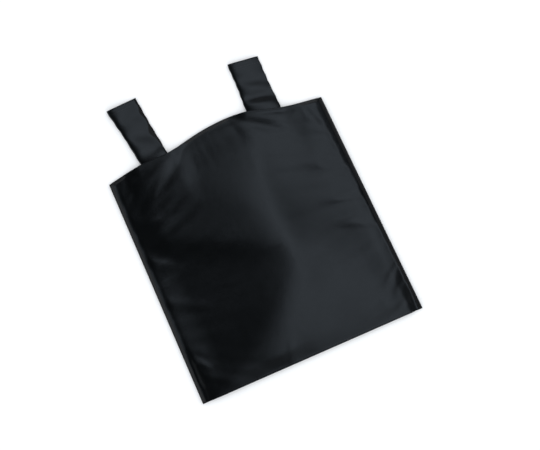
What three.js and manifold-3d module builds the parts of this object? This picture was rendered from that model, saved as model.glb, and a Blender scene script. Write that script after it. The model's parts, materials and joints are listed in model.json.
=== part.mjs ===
// A film changing bag lying flat: a zipped outer bag of black nylon, a zipped lining bag inside it,
// and two arm sleeves with elastic cuffs sewn into the edge opposite the mouth.
// Millimetres. x runs across the bag, y from the zipped mouth (0) to the sleeves, z up from the table.
import * as THREE from "three";
import Module from "manifold-3d";
import { mergeVertices } from "three/addons/utils/BufferGeometryUtils.js";

const wasm = await Module();
wasm.setup();
const { clamp, lerp, smoothstep } = THREE.MathUtils;

// ---------- driving dimensions ----------
const MOUTH_WIDTH = 700;
const ARM_EDGE_RIGHT = 326; // x of the right end of the arm edge; the left end is square to the mouth
const OVERALL_LENGTH = 906; // mouth lip to the end of the left cuff
const MEAN_LENGTH = 715; // mouth lip to arm edge, averaged across the bag
const GAP = 0.3; // between solids that touch on the real bag

// The arm edge from left to right: shoulders that slope up to a rounded crest between the sleeves.
const ARM_EDGE = [
  [-350, 703],
  [-241, 719],
  [-154, 720],
  [-39, 739],
  [45, 744],
  [107, 738],
  [205, 709],
  [ARM_EDGE_RIGHT, 689],
];

// Each sleeve lies flat between its seam in the arm edge and its cuff.
const SLEEVE_HEIGHT = 13.3;
const ARC_STEPS = 6; // per half circle of a sleeve's section
const SLEEVES = [
  {
    side: "left",
    baseLeft: [-241, 722],
    baseRight: [-155, 722],
    tipLeft: [-271, 902],
    tipRight: [-177, OVERALL_LENGTH],
  },
  {
    side: "right",
    baseLeft: [107, 744],
    baseRight: [205.5, 715],
    tipLeft: [110.5, 886],
    tipRight: [202.5, 874],
  },
];
const CUFF_DEPTH = 18;
const FACING_DEPTH = 12;
const FACING_SETBACK = 10; // from the armhole seam to the facing inside the bag
const CUFF_ROLL = 1; // the elastic stops this short of the cuff's end
const ELASTIC = 1.2;
const HEM = 0.8;

// Cloth thicknesses, as the solids carry them.
const NYLON = 1.0;
const LINING = 0.9;
const BINDING = 0.8;
const BINDING_WIDTH = 10;
const BINDING_CHAMFER = 1;
const BINDING_STEP = 25; // longest straight of a binding on the curved arm edge

// Heights of the four layers where the binding holds them together.
const RIM_STEP = BINDING + GAP; // the back panels rise this far over the binding's lower leg
const LAYER_GAP = NYLON + GAP;
const RIM_FRONT = RIM_STEP + LAYER_GAP + 2 * (LINING + GAP); // underside of the outer front panel
const BINDING_HEIGHT = RIM_FRONT + NYLON + GAP + BINDING;

// Shape of the front panels above the rim.
const CROWN = 25;
const MARGIN = 11; // flat edge inside the binding
const STEP_RUN = 4;
const MOUTH_FLAT = 60; // the mouth stays level this far in, over both zips
const MOUTH_LIFT = 7.8;
const MOUTH_HALF = 318;
const MOUTH_SHOULDER = 339;
const MOUTH_FADE = 220;
const SLEEVE_LIFT = 8.8;
const SLEEVE_SHOULDER = [50, 80];
const SLEEVE_FADE = [20, 200];
const SHOULDER_CLEARANCE = 2; // from a shoulder, or the slanting right corner, to the binding's end
const INNER_MOUTH = 0.064; // where the lining bag's mouth lies, as a share of the length

// Trim at the mouth, and the label in the lining's left seam.
const LIP = 0.4; // the hems and side bindings stop this short of the mouth's edge
const HEM_HALF = 314;
const HEM_CLOTH = 0.7;
const HEM_PAST_ZIP = 0.9; // how far the hems run on behind the middle of the outer chain
const CORNER_TAB = { from: 320, to: 332, y: [2, 18], top: 4.3 };
const LABEL = { x: [-334, -300], y: [110, 150], thickness: 0.4 };

// Zips: size 1 is the outer chain, and the lining has a smaller one.
const ZIPS = [
  { name: "outer_zip", size: 1, y: 7.2, z: 6.8, half: 300, tapeReach: 13, tapeLow: 1.3 },
  { name: "inner_zip", size: 0.72, y: 40, z: 6.7, half: 285, tapeReach: 14, tapeLow: 2.5 },
];
const TAPE = 0.6;
const COIL_HALF = 3.2;
const COIL_DEPTH = 2.4;
const SLIT_HALF = 0.8;
const TAPE_PAST_CHAIN = 5;
const STOP_LENGTH = 3;
const STOP_OVERHANG = 0.2; // of the stops over the coils
const SLIDER_PARK = 9; // from the end of the chain to the middle of the closed slider

// A size 1 slider. x runs along the chain, towards its closed end.
const SLIDER = {
  half: 6,
  frontPlate: 1.2,
  rearPlate: 1.0,
  flange: 0.9,
  noseHalf: 0.7, // height of the closed end, as a share of the height over the flanges
  tailHalf: 0.75,
  flangeFrom: -0.8, // where the flanges start and end, as shares of the half length
  flangeTo: 0.6,
  post: { x: [3, 5.4], half: 0.5 },
  bridge: { leg: 3.5, thick: 1.0, half: 1.2, rise: 3.1 },
};

// A size 1 pull, drawn from its bar at x = 0 towards -x.
const PULL = {
  length: 25,
  barHalf: 0.6,
  barBehind: 1.05, // from the front plate to the middle of the bar
  collar: { half: 2.8, end: 6 },
  shoulder: { half: 3.2, end: 9 },
  blade: { half: 4, tipHalf: 3, taper: 2 },
  eye: { from: 0.7, to: 4.4, half: 1.6 },
  hole: { fromTip: [4, 9], half: 1.5 },
};

// ---------- materials ----------
const cloth = (color, roughness) => new THREE.MeshStandardMaterial({ color, roughness });
const MATERIALS = {
  nylon: cloth(0x191b1f, 0.45),
  lining: cloth(0x101011, 0.9),
  binding: cloth(0x141518, 0.6),
  zipTape: cloth(0x0e0e10, 0.85),
  zipCoil: cloth(0x17181a, 0.4),
  elastic: cloth(0x1b1b1d, 0.8),
  label: cloth(0xd8d8d4, 0.7),
  zipMetal: new THREE.MeshStandardMaterial({ color: 0x2a2b2e, roughness: 0.35, metalness: 0.9 }),
};

const bag = new THREE.Group();

function place(name, geometry, material) {
  const mesh = new THREE.Mesh(geometry, material);
  mesh.name = name;
  bag.add(mesh);
}

// ---------- solids ----------
function indexed(points, faces) {
  const geometry = new THREE.BufferGeometry();
  geometry.setAttribute("position", new THREE.Float32BufferAttribute(points.flat(), 3));
  geometry.setIndex(faces.flat());
  geometry.computeVertexNormals();
  return geometry;
}

function manifoldOf(geometry) {
  const bare = geometry.clone();
  bare.deleteAttribute("normal");
  bare.deleteAttribute("uv");
  const merged = mergeVertices(bare, 1e-3);
  return new wasm.Manifold(
    new wasm.Mesh({
      numProp: 3,
      vertProperties: merged.getAttribute("position").array,
      triVerts: new Uint32Array(merged.index.array),
    }),
  );
}

function union(geometries) {
  const joined = geometries.map(manifoldOf).reduce((a, b) => a.add(b));
  const mesh = joined.getMesh();
  const geometry = new THREE.BufferGeometry();
  geometry.setAttribute("position", new THREE.Float32BufferAttribute(mesh.vertProperties, 3));
  geometry.setIndex(new THREE.BufferAttribute(mesh.triVerts, 1));
  geometry.computeVertexNormals();
  return geometry;
}

function block(x, y, z) {
  const box = new THREE.BoxGeometry(x[1] - x[0], y[1] - y[0], z[1] - z[0]);
  return box.translate((x[0] + x[1]) / 2, (y[0] + y[1]) / 2, (z[0] + z[1]) / 2);
}

// A flat outline drawn in (x, z), with its holes, made thick along y from y[0] to y[1].
function plateXZ(outline, y, holes = []) {
  const shape = new THREE.Shape(outline.map((p) => new THREE.Vector2(...p)));
  shape.holes = holes.map((hole) => new THREE.Path(hole.map((p) => new THREE.Vector2(...p))));
  const solid = new THREE.ExtrudeGeometry(shape, { depth: y[1] - y[0], bevelEnabled: false });
  return solid.rotateX(Math.PI / 2).translate(0, y[1], 0);
}

// A section drawn in (y, z), run along x from x[0] to x[1].
function barX(section, x) {
  const shape = new THREE.Shape(section.map((p) => new THREE.Vector2(...p)));
  const solid = new THREE.ExtrudeGeometry(shape, { depth: x[1] - x[0], bevelEnabled: false });
  const axes = new THREE.Matrix4().makeBasis(
    new THREE.Vector3(0, 1, 0),
    new THREE.Vector3(0, 0, 1),
    new THREE.Vector3(1, 0, 0),
  );
  return solid.applyMatrix4(axes).translate(x[0], 0, 0);
}

// Closes a stack of rings of equal length, each a closed loop of points, with a triangulated end.
function loft(rings, section) {
  const count = section.length;
  const faces = [];
  for (let ring = 0; ring + 1 < rings.length; ring++) {
    for (let i = 0; i < count; i++) {
      const a = ring * count + i;
      const b = ring * count + ((i + 1) % count);
      faces.push([a, b, b + count], [a, b + count, a + count]);
    }
  }
  const last = (rings.length - 1) * count;
  const flat = section.map((p) => new THREE.Vector2(...p));
  for (const [a, b, c] of THREE.ShapeUtils.triangulateShape(flat, [])) {
    faces.push([c, b, a], [last + a, last + b, last + c]);
  }
  return indexed(rings.flat(), faces);
}

// ---------- plan of the bag ----------
const armEdgeAt = (() => {
  const curve = new THREE.CubicInterpolant(
    ARM_EDGE.map((p) => p[0]),
    ARM_EDGE.map((p) => p[1]),
    1,
  );
  return (x) => curve.evaluate(x)[0];
})();

const LEFT = -MOUTH_WIDTH / 2;
const TOP_WIDTH = ARM_EDGE_RIGHT - LEFT;
const INSET = BINDING + GAP;

// The point of a panel at share s across and share t from the mouth to the arm edge.
function plan(s, t) {
  const mouthX = lerp(LEFT + INSET, -LEFT - INSET, s);
  const topX = lerp(LEFT + INSET, ARM_EDGE_RIGHT - INSET, s);
  const topY = armEdgeAt(topX) - INSET;
  return [lerp(mouthX, topX, t), topY * t];
}

// Lines of a grid: the required ones, and more between them wherever a gap is over the limit.
function gridLines(required, limit) {
  const sorted = [...required].sort((a, b) => a - b);
  return sorted.flatMap((from, i) => {
    if (i + 1 === sorted.length) return [from];
    const parts = Math.ceil((sorted[i + 1] - from) / limit - 1e-6);
    return Array.from({ length: parts }, (_, k) => lerp(from, sorted[i + 1], k / parts));
  });
}

const sleeveCentres = SLEEVES.map((s) => ((s.baseLeft[0] + s.baseRight[0]) / 2 - LEFT) / TOP_WIDTH);
const edgeShares = [MARGIN, MARGIN + STEP_RUN, -LEFT - MOUTH_HALF].map((mm) => mm / MOUTH_WIDTH);
const ACROSS_LINES = gridLines(
  [
    0,
    1,
    ...edgeShares.flatMap((share) => [share, 1 - share]),
    ...sleeveCentres.flatMap((c) =>
      SLEEVE_SHOULDER.flatMap((mm) => [c - mm / TOP_WIDTH, c + mm / TOP_WIDTH]),
    ),
  ],
  0.07,
);
const ARM_MARGINS = [MARGIN + STEP_RUN, MARGIN].map((mm) => 1 - mm / MEAN_LENGTH);
const ALONG_FINE = gridLines([0, INNER_MOUTH, MOUTH_FLAT / MEAN_LENGTH, ...ARM_MARGINS, 1], 0.07);
const ALONG_COARSE = [0, INNER_MOUTH, 0.5, ...ARM_MARGINS, 1];

// Distance in mm from a point of the grid to the nearest bound edge.
function toBoundEdge(s, t) {
  return Math.min(s * MOUTH_WIDTH, (1 - s) * MOUTH_WIDTH, (1 - t) * MEAN_LENGTH);
}

// A rounded hump from 0 at both ends of a span to 1 in its middle.
function pillow(at, from, to) {
  const a = clamp((at - from) / (to - from), 0, 1);
  return Math.pow(1 - Math.pow(Math.abs(2 * a - 1), 2.5), 0.8);
}

function backLow(s, t) {
  return RIM_STEP * (1 - clamp((toBoundEdge(s, t) - MARGIN) / STEP_RUN, 0, 1));
}

function frontLow(s, t) {
  const across = pillow(s * MOUTH_WIDTH, MARGIN, MOUTH_WIDTH - MARGIN);
  const along = pillow(t * MEAN_LENGTH, MOUTH_FLAT, MEAN_LENGTH - MARGIN);
  const fromMiddle = Math.abs(s - 0.5) * MOUTH_WIDTH;
  const mouth =
    MOUTH_LIFT *
    (1 - smoothstep(fromMiddle, MOUTH_HALF, MOUTH_SHOULDER)) *
    (1 - smoothstep(t * MEAN_LENGTH, MOUTH_FLAT, MOUTH_FADE));
  const sleeves = sleeveCentres.reduce(
    (sum, c) => sum + 1 - smoothstep(Math.abs(s - c) * TOP_WIDTH, ...SLEEVE_SHOULDER),
    0,
  );
  const armEdge = SLEEVE_LIFT * sleeves * (1 - smoothstep((1 - t) * MEAN_LENGTH, ...SLEEVE_FADE));
  return RIM_FRONT + CROWN * across * along + mouth + armEdge;
}

// A sheet of cloth over the grid: its underside at low(s, t), and its thickness above that.
function sheet(across, along, low, thickness) {
  const rows = along.length;
  const columns = across.length;
  const layer = (rise) =>
    along.flatMap((t) => across.map((s) => [...plan(s, t), low(s, t) + rise]));
  const top = rows * columns;
  const faces = [];
  const at = (i, j) => j * columns + i;
  for (let j = 0; j + 1 < rows; j++) {
    for (let i = 0; i + 1 < columns; i++) {
      const [a, b, c, d] = [at(i, j), at(i + 1, j), at(i + 1, j + 1), at(i, j + 1)];
      faces.push([a, c, b], [a, d, c]);
      faces.push([top + a, top + b, top + c], [top + a, top + c, top + d]);
    }
  }
  const rim = [
    ...across.map((_, i) => at(i, 0)).slice(0, -1),
    ...along.map((_, j) => at(columns - 1, j)).slice(0, -1),
    ...across.map((_, i) => at(columns - 1 - i, rows - 1)).slice(0, -1),
    ...along.map((_, j) => at(0, rows - 1 - j)).slice(0, -1),
  ];
  rim.forEach((a, i) => {
    const b = rim[(i + 1) % rim.length];
    faces.push([a, b, top + b], [a, top + b, top + a]);
  });
  return indexed([...layer(0), ...layer(thickness)], faces);
}

const fromInnerMouth = (lines) => lines.filter((t) => t >= INNER_MOUTH);

function panels() {
  const innerBack = (s, t) => backLow(s, t) + LAYER_GAP;
  const innerFront = (s, t) => frontLow(s, t) - LINING - GAP;
  place("outer_back_panel", sheet(ACROSS_LINES, ALONG_COARSE, backLow, NYLON), MATERIALS.nylon);
  place(
    "lining_back_panel",
    sheet(ACROSS_LINES, fromInnerMouth(ALONG_COARSE), innerBack, LINING),
    MATERIALS.lining,
  );
  place(
    "lining_front_panel",
    sheet(ACROSS_LINES, fromInnerMouth(ALONG_FINE), innerFront, LINING),
    MATERIALS.lining,
  );
  place("outer_front_panel", sheet(ACROSS_LINES, ALONG_FINE, frontLow, NYLON), MATERIALS.nylon);
}

// ---------- edge bindings: a folded tape round the four layers ----------
const BINDING_SECTION = [
  [-BINDING_WIDTH, 0],
  [-BINDING_CHAMFER, 0],
  [0, BINDING_CHAMFER],
  [0, BINDING_HEIGHT - BINDING_CHAMFER],
  [-BINDING_CHAMFER, BINDING_HEIGHT],
  [-BINDING_WIDTH, BINDING_HEIGHT],
  [-BINDING_WIDTH, BINDING_HEIGHT - BINDING],
  [-BINDING, BINDING_HEIGHT - BINDING],
  [-BINDING, BINDING],
  [-BINDING_WIDTH, BINDING],
];

// The binding along a run of plan points, with the bag on the left of the run.
function binding(name, run) {
  const rings = run.map((p, i) => {
    const before = run[Math.max(i - 1, 0)];
    const after = run[Math.min(i + 1, run.length - 1)];
    const along = new THREE.Vector2(after[0] - before[0], after[1] - before[1]).normalize();
    return BINDING_SECTION.map(([out, z]) => [p[0] + along.y * out, p[1] - along.x * out, z]);
  });
  place(name, loft(rings.reverse(), BINDING_SECTION), MATERIALS.binding);
}

function armEdgeRun(fromX, toX) {
  const parts = Math.ceil(Math.abs(toX - fromX) / BINDING_STEP);
  return Array.from({ length: parts + 1 }, (_, k) => {
    const x = lerp(fromX, toX, k / parts);
    return [x, armEdgeAt(x)];
  });
}

function bindings() {
  const corner = BINDING_WIDTH + 2 * GAP;
  const clear = SLEEVE_SHOULDER[1] + SHOULDER_CLEARANCE;
  const [left, right] = SLEEVES.map((s) => (s.baseLeft[0] + s.baseRight[0]) / 2);
  binding("left_side_binding", [
    [LEFT, armEdgeAt(LEFT)],
    [LEFT, LIP],
  ]);
  binding("right_side_binding", [
    [-LEFT, LIP],
    [ARM_EDGE_RIGHT, armEdgeAt(ARM_EDGE_RIGHT)],
  ]);
  binding("arm_edge_binding_left", armEdgeRun(left - clear, LEFT + corner));
  binding("arm_edge_binding_middle", armEdgeRun(right - clear, left + clear));
  const rightEnd = ARM_EDGE_RIGHT - corner - SHOULDER_CLEARANCE;
  binding("arm_edge_binding_right", armEdgeRun(rightEnd, right + clear));
}

// ---------- mouth hems, corner tabs and label ----------
function mouthTrim() {
  const frontUnder = RIM_FRONT + MOUTH_LIFT - GAP;
  const across = [-HEM_HALF, HEM_HALF];
  const deep = [LIP, ZIPS[0].y + HEM_PAST_ZIP];
  const backHem = [LAYER_GAP, LAYER_GAP + HEM_CLOTH];
  const frontHem = [frontUnder - HEM_CLOTH, frontUnder];
  place("mouth_back_hem", block(across, deep, backHem), MATERIALS.nylon);
  place("mouth_front_hem", block(across, deep, frontHem), MATERIALS.nylon);
  const { from, to, y, top } = CORNER_TAB;
  const tab = (x) => block(x, y, [LAYER_GAP, top]);
  place("mouth_corner_tab_left", tab([-to, -from]), MATERIALS.nylon);
  place("mouth_corner_tab_right", tab([from, to]), MATERIALS.nylon);
  const labelLow = LAYER_GAP + LINING + GAP;
  const label = block(LABEL.x, LABEL.y, [labelLow, labelLow + LABEL.thickness]);
  place("care_label", label, MATERIALS.label);
}

// ---------- zips ----------
function zipTapes(zip, chain) {
  const { y, z, half, tapeReach, tapeLow } = zip;
  const front = y + chain.depth / 2 + GAP;
  const ends = [-half - TAPE_PAST_CHAIN, half + TAPE_PAST_CHAIN];
  const halfHeight = z - tapeLow;
  const profile = (sign) => {
    const points = [
      [front, sign * chain.slit],
      [front, sign * halfHeight],
      [y + tapeReach, sign * halfHeight],
      [y + tapeReach, sign * (halfHeight - TAPE)],
      [front + TAPE, sign * (halfHeight - TAPE)],
      [front + TAPE, sign * chain.slit],
    ].map(([py, pz]) => [py, z + pz]);
    return sign < 0 ? points : points.reverse();
  };
  place(`${zip.name}_tape_back`, barX(profile(-1), ends), MATERIALS.zipTape);
  place(`${zip.name}_tape_front`, barX(profile(1), ends), MATERIALS.zipTape);
}

function zipCoils(zip, chain) {
  const half = chain.depth / 2;
  const bevel = 0.3 * chain.depth;
  const section = (low, high) => [
    [zip.y - half + bevel, low],
    [zip.y + half - bevel, low],
    [zip.y + half, low + bevel],
    [zip.y + half, high - bevel],
    [zip.y + half - bevel, high],
    [zip.y - half + bevel, high],
    [zip.y - half, high - bevel],
    [zip.y - half, low + bevel],
  ];
  const ends = [-zip.half, zip.half];
  const back = section(zip.z - chain.half, zip.z - chain.slit);
  const front = section(zip.z + chain.slit, zip.z + chain.half);
  place(`${zip.name}_coil_back`, barX(back, ends), MATERIALS.zipCoil);
  place(`${zip.name}_coil_front`, barX(front, ends), MATERIALS.zipCoil);
}

function zipStops(zip, chain) {
  const x = [zip.half + GAP, zip.half + GAP + STOP_LENGTH * zip.size];
  const deep = [zip.y - chain.depth / 2 - STOP_OVERHANG, zip.y + chain.depth / 2];
  const high = chain.half + STOP_OVERHANG;
  const closed = [
    ["back", [zip.z - high, zip.z - chain.slit]],
    ["front", [zip.z + chain.slit, zip.z + high]],
  ];
  for (const [side, z] of closed) {
    place(`${zip.name}_top_stop_${side}`, block(x, deep, z), MATERIALS.zipMetal);
  }
  const open = block([-x[1], -x[0]], deep, [zip.z - high, zip.z + high]);
  place(`${zip.name}_bottom_stop`, open, MATERIALS.zipMetal);
}

// The slider: plates in front of the chain and behind the tapes, flanges over the coils' edges,
// a post through the slit, and a bridge that holds the pull.
function zipSlider(zip, chain) {
  const k = zip.size;
  const parked = zip.half - SLIDER_PARK * k;
  const plateBack = -chain.depth / 2 - GAP;
  const plateFront = plateBack - SLIDER.frontPlate * k;
  const flangeIn = chain.half + GAP;
  const flangeOut = flangeIn + SLIDER.flange * k;
  const rear = chain.depth / 2 + 2 * GAP + TAPE;
  const length = SLIDER.half * k;
  const [from, to] = [SLIDER.flangeFrom * length, SLIDER.flangeTo * length];
  const nose = SLIDER.noseHalf * flangeOut;
  const tail = SLIDER.tailHalf * flangeOut;
  const waist = [
    [-length, -tail],
    [from, -flangeOut],
    [to, -flangeOut],
    [length, -nose],
    [length, nose],
    [to, flangeOut],
    [from, flangeOut],
    [-length, tail],
  ];
  const overlap = 0.1; // of solids that are joined into one
  const post = SLIDER.post.x.map((x) => x * k);
  const postHalf = SLIDER.post.half * k;
  const legOut = SLIDER.bridge.leg * k;
  const legIn = legOut - SLIDER.bridge.thick * k;
  const bridgeFront = plateFront - SLIDER.bridge.rise * k;
  const bridgeZ = [-SLIDER.bridge.half * k, SLIDER.bridge.half * k];
  const leg = (x) => block(x, [bridgeFront, plateFront + overlap], bridgeZ);
  const flange = (z) => block([from, to], [plateBack - overlap, chain.depth / 2], z);
  const solid = union([
    plateXZ(waist, [plateFront, plateBack]),
    plateXZ(waist, [rear, rear + SLIDER.rearPlate * k]),
    flange([flangeIn, flangeOut]),
    flange([-flangeOut, -flangeIn]),
    block(post, [plateBack - overlap, rear + overlap], [-postHalf, postHalf]),
    leg([-legOut, -legIn]),
    leg([legIn, legOut]),
    block([-legOut, legOut], [bridgeFront, bridgeFront + SLIDER.bridge.thick * k], bridgeZ),
  ]);
  place(`${zip.name}_slider`, solid.translate(parked, zip.y, zip.z), MATERIALS.zipMetal);
  zipPull(zip, parked, plateFront);
}

// The pull's bar lies under the bridge, and its eye goes round the bridge's leg.
function zipPull(zip, parked, plateFront) {
  const k = zip.size;
  const { length, barHalf, collar, shoulder, blade, eye, hole } = PULL;
  const pivotY = plateFront - PULL.barBehind * k;
  const upper = [
    [barHalf, collar.half],
    [-collar.end, collar.half],
    [-shoulder.end, shoulder.half],
    [-length + blade.taper, blade.half],
    [-length, blade.tipHalf],
  ];
  const lower = upper.map(([x, z]) => [x, -z]).reverse();
  const opening = (x, half) => [
    [x[0], -half],
    [x[0], half],
    [x[1], half],
    [x[1], -half],
  ];
  const scaled = (outline) => outline.map(([x, z]) => [x * k, z * k]);
  const holes = [
    opening([-eye.from, -eye.to], eye.half),
    opening([-length + hole.fromTip[0], -length + hole.fromTip[1]], hole.half),
  ];
  const pull = plateXZ(
    scaled([...upper, ...lower]),
    [pivotY - barHalf * k, pivotY + barHalf * k],
    holes.map(scaled),
  );
  place(`${zip.name}_pull_tab`, pull.translate(parked, zip.y, zip.z), MATERIALS.zipMetal);
}

function zips() {
  for (const zip of ZIPS) {
    const chain = {
      half: COIL_HALF * zip.size,
      slit: SLIT_HALF * zip.size,
      depth: COIL_DEPTH * zip.size,
    };
    zipTapes(zip, chain);
    zipCoils(zip, chain);
    zipStops(zip, chain);
    zipSlider(zip, chain);
  }
}

// ---------- sleeves ----------
// A flattened ring round a sleeve at share t of its length, inset from the sleeve's outside.
function sleeveRing(sleeve, t, inset, low = 0, high = SLEEVE_HEIGHT) {
  const at = (a, b) => new THREE.Vector2(lerp(a[0], b[0], t), lerp(a[1], b[1], t));
  const left = at(sleeve.baseLeft, sleeve.tipLeft);
  const right = at(sleeve.baseRight, sleeve.tipRight);
  const centre = left.clone().add(right).multiplyScalar(0.5);
  const side = right.clone().sub(left).normalize();
  const radius = (high - low) / 2 - inset;
  const straight = left.distanceTo(right) / 2 - inset - radius;
  const middle = (low + high) / 2;
  const ring = [];
  for (const end of [1, -1]) {
    for (let k = 0; k <= ARC_STEPS; k++) {
      const angle = Math.PI * (k / ARC_STEPS - 0.5);
      const out = end * (straight + radius * Math.cos(angle));
      ring.push([
        centre.x + side.x * out,
        centre.y + side.y * out,
        middle + end * radius * Math.sin(angle),
      ]);
    }
  }
  return ring;
}

// A tube wall between an outer and an inner inset, over the shares from and to of the length.
function sleeveWall(sleeve, from, to, outer, inner, low, high) {
  const rings = [
    sleeveRing(sleeve, from, outer, low, high),
    sleeveRing(sleeve, to, outer, low, high),
    sleeveRing(sleeve, to, inner, low, high),
    sleeveRing(sleeve, from, inner, low, high),
  ];
  const count = rings[0].length;
  const faces = [];
  rings.forEach((_, ring) => {
    const next = (ring + 1) % rings.length;
    for (let i = 0; i < count; i++) {
      const j = (i + 1) % count;
      const [a, b, c, d] = [ring * count + i, ring * count + j, next * count + j, next * count + i];
      faces.push([a, c, b], [a, d, c]);
    }
  });
  return indexed(rings.flat(), faces);
}

function sleeves() {
  const liningOut = NYLON + GAP;
  const hemOut = liningOut + ELASTIC + GAP;
  // The facing binds the armhole's raw edge inside the bag.
  const facingLow = RIM_STEP + LAYER_GAP + LINING + GAP;
  const facingHigh = RIM_FRONT + SLEEVE_LIFT - LINING - 2 * GAP;
  for (const sleeve of SLEEVES) {
    const { side } = sleeve;
    const length = Math.hypot(
      sleeve.tipLeft[0] - sleeve.baseLeft[0],
      sleeve.tipLeft[1] - sleeve.baseLeft[1],
    );
    const cuff = 1 - CUFF_DEPTH / length;
    const facing = [-(FACING_DEPTH + FACING_SETBACK) / length, -FACING_SETBACK / length];
    const wall = (part, [from, to], outer, thickness, material, ...heights) =>
      place(
        `${side}_${part}`,
        sleeveWall(sleeve, from, to, outer, outer + thickness, ...heights),
        material,
      );
    wall("sleeve_shell", [0, 1], 0, NYLON, MATERIALS.nylon);
    wall("sleeve_lining", [0, cuff - GAP / length], liningOut, LINING, MATERIALS.lining);
    wall("cuff_elastic", [cuff, 1 - CUFF_ROLL / length], liningOut, ELASTIC, MATERIALS.elastic);
    wall("cuff_hem", [cuff, 1], hemOut, HEM, MATERIALS.nylon);
    wall("armhole_facing", facing, 0, HEM, MATERIALS.binding, facingLow, facingHigh);
  }
}

panels();
bindings();
mouthTrim();
zips();
sleeves();

// The part's origin is the middle of its footprint, on the table.
for (const mesh of bag.children) mesh.geometry.translate(0, -OVERALL_LENGTH / 2, 0);

export default bag;
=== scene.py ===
import json
import math

import bmesh
import bpy
import numpy as np
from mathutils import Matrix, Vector, noise
from mathutils.bvhtree import BVHTree


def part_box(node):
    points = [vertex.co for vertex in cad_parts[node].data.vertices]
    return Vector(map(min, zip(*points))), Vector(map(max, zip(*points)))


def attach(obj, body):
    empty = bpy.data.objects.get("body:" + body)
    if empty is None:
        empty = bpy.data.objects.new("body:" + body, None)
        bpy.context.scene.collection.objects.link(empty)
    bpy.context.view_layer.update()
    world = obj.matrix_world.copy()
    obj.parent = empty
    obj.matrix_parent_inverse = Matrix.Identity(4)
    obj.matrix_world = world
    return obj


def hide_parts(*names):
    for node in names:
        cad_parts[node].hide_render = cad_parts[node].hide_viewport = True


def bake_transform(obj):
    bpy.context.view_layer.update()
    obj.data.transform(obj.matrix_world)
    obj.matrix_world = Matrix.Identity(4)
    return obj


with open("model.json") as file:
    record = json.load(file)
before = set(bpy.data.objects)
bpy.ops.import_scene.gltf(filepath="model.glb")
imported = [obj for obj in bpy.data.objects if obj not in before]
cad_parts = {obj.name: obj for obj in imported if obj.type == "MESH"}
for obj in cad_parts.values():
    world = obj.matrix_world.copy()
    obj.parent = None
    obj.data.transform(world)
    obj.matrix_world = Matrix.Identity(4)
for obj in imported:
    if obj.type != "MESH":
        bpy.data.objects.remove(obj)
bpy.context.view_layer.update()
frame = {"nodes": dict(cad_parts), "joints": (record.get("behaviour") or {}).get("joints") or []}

MM = 0.001

# ---------------------------------------------------------------- camera, lights and floor
VIEW_ROLL = -23.7  # degrees: the bag lies turned to the left in the picture
VIEW_WIDTH = 1.593  # metres of floor across the picture
VIEW_CENTRE = (0.0366, -0.0492)
VIEW_HEIGHT = 3.6


def make_camera():
    data = bpy.data.cameras.new("camera")
    data.sensor_width = 36
    data.lens = data.sensor_width * VIEW_HEIGHT / VIEW_WIDTH
    camera = bpy.data.objects.new("camera", data)
    bpy.context.scene.collection.objects.link(camera)
    camera.location = (*VIEW_CENTRE, VIEW_HEIGHT)
    camera.rotation_euler = (0, 0, math.radians(VIEW_ROLL))
    bpy.context.scene.camera = camera


SOFTBOX_EDGE = -0.06  # the softbox's near edge, which passes over the bag's middle
SOFTBOX_LENGTH = 5.0
SOFTBOX_COLOR = (0.89, 0.94, 1.0)
# Width, height and power of the softbox, and of the strip that brightens its near edge.
SOFTBOXES = {"softbox": (1.8, 3.0, 26.5), "softbox_strip": (0.7, 2.97, 6.0)}


def make_softbox():
    """A wide level light whose near edge passes over the bag, so half of the bag mirrors it."""
    for name, (width, height, power) in SOFTBOXES.items():
        data = bpy.data.lights.new(name, "AREA")
        data.shape = "RECTANGLE"
        data.size, data.size_y = width, SOFTBOX_LENGTH
        data.energy = power
        data.color = SOFTBOX_COLOR
        light = bpy.data.objects.new(name, data)
        light.location = (SOFTBOX_EDGE + width / 2, 0, height)
        bpy.context.scene.collection.objects.link(light)


BACKDROP_REACH = 5.0
BACKDROP_FOOT = 0.4  # height of the panels' lower edge
BACKDROP_SIZE = (8.0, 3.8)
BACKDROP_POWER = 30


def make_backdrops():
    """Upright panels all round. Only steep cloth mirrors them upwards, and level cloth sideways."""
    for k in range(4):
        turn = k * math.pi / 2
        data = bpy.data.lights.new(f"backdrop_{k}", "AREA")
        data.shape = "RECTANGLE"
        data.size, data.size_y = BACKDROP_SIZE
        data.energy = BACKDROP_POWER
        light = bpy.data.objects.new(f"backdrop_{k}", data)
        light.location = (
            math.sin(turn) * BACKDROP_REACH,
            -math.cos(turn) * BACKDROP_REACH,
            BACKDROP_FOOT + BACKDROP_SIZE[1] / 2,
        )
        light.rotation_euler = (math.pi / 2, 0, turn)
        light.visible_camera = False
        bpy.context.scene.collection.objects.link(light)


FLOOR_REACH = 30
FLOOR_COLOR = (0.86, 0.86, 0.86)
FILL_COLOR = (0.96, 0.98, 1.0)


def make_studio():
    scene = bpy.context.scene
    scene.view_settings.view_transform = "Standard"
    world = bpy.data.worlds.new("studio")
    scene.world = world
    world.use_nodes = True
    background = world.node_tree.nodes["Background"]
    background.inputs["Color"].default_value = (*FILL_COLOR, 1)
    background.inputs["Strength"].default_value = 1.0
    # The fill lights the cloth evenly, and leaves its shine to the softbox and the panels.
    world.cycles_visibility.glossy = False
    make_softbox()
    make_backdrops()

    mesh = bpy.data.meshes.new("floor")
    reach = FLOOR_REACH
    points = [(-reach, -reach, 0), (reach, -reach, 0), (reach, reach, 0), (-reach, reach, 0)]
    mesh.from_pydata(points, [], [(0, 1, 2, 3)])
    floor = bpy.data.objects.new("floor", mesh)
    scene.collection.objects.link(floor)
    mat, nodes, _ = new_material("floor", FLOOR_COLOR, 0.9)
    nodes["Principled BSDF"].inputs["Specular IOR Level"].default_value = 0.1
    mesh.materials.append(mat)


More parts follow.
